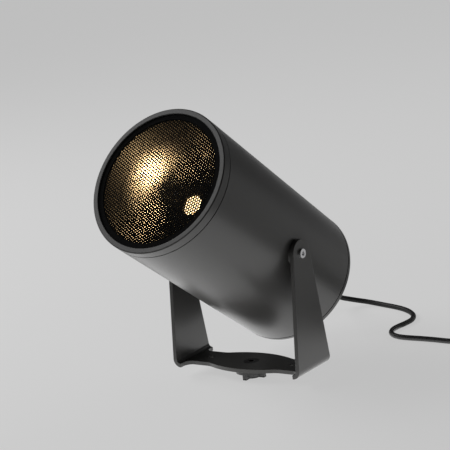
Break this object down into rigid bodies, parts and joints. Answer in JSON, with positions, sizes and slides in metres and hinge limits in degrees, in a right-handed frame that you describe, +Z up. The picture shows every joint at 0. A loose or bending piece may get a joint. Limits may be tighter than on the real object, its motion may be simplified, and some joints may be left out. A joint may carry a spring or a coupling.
{
  "type": "landscape light",
  "caption": "Outdoor spotlight: a round barrel head with a honeycomb louvre tilts in a bent steel yoke that swivels on a ground spike, with a power cord.",
  "frame": {"origin": "on the spike's axis at ground level", "axes": "+Z up, the light shines towards -Y and upwards, the pivot axis runs along X"},
  "size_m": [0.319, 0.4037, 0.4714],
  "materials": {
    "powder_coat": "satin powder coat",
    "cast_coat": "satin powder coat on a casting",
    "bezel_coat": "satin powder coat",
    "clear_glass": "clear",
    "black_rubber": "matte",
    "black_metal": "black anodised",
    "plain_aluminium": "as cast",
    "phosphor": "glowing",
    "white_plastic": "moulded",
    "black_plastic": "moulded",
    "steel": "stainless",
    "black_steel": "black oxide",
    "brass": "turned",
    "lead_insulation": "silicone",
    "cord_jacket": "matte"
  },
  "bodies": {
    "ground_spike": {"spike": "black_plastic", "spike_insert": "brass", "base_washer": "black_plastic", "swivel_bolt": "black_steel"},
    "yoke": {"yoke": "powder_coat", "power_cord": "cord_jacket", "cord_coil": "cord_jacket", "coil_tie": "black_plastic", "connector_body": "black_plastic", "connector_nut": "black_plastic", "connector_pins": "brass"},
    "head": {"barrel": "cast_coat", "rear_cap": "cast_coat", "front_bezel": "bezel_coat", "front_glass": "clear_glass", "seam_seal": "black_rubber", "glass_gasket": "black_rubber", "rear_seal": "black_rubber", "gland_boot": "black_rubber", "louvre_frame": "black_metal", "honeycomb_louvre": "black_metal", "reflector": "black_metal", "heat_sink": "plain_aluminium", "driver_bracket": "plain_aluminium", "led_cob": "phosphor", "led_driver": "white_plastic", "terminal_block": "white_plastic", "pivot_washers": "black_plastic", "gland_body": "black_plastic", "gland_locknut": "black_plastic", "gland_nut": "black_plastic", "led_holder": "black_plastic", "pivot_screws": "steel", "heat_sink_screws": "steel", "rear_cap_screws": "steel", "led_leads": "lead_insulation", "inlet_cable": "cord_jacket"}
  },
  "joints": [
    {"name": "swivel", "type": "hinge", "parent": "ground_spike", "child": "yoke", "pos_m": [0, 0, 0.012], "axis": [0, 0, 1], "range_deg": [-90, 90]},
    {"name": "tilt", "type": "hinge", "parent": "yoke", "child": "head", "pos_m": [0, 0, 0.13364], "axis": [-1, 0, 0], "range_deg": [-46, 36], "deforming": ["power_cord"]}
  ]
}
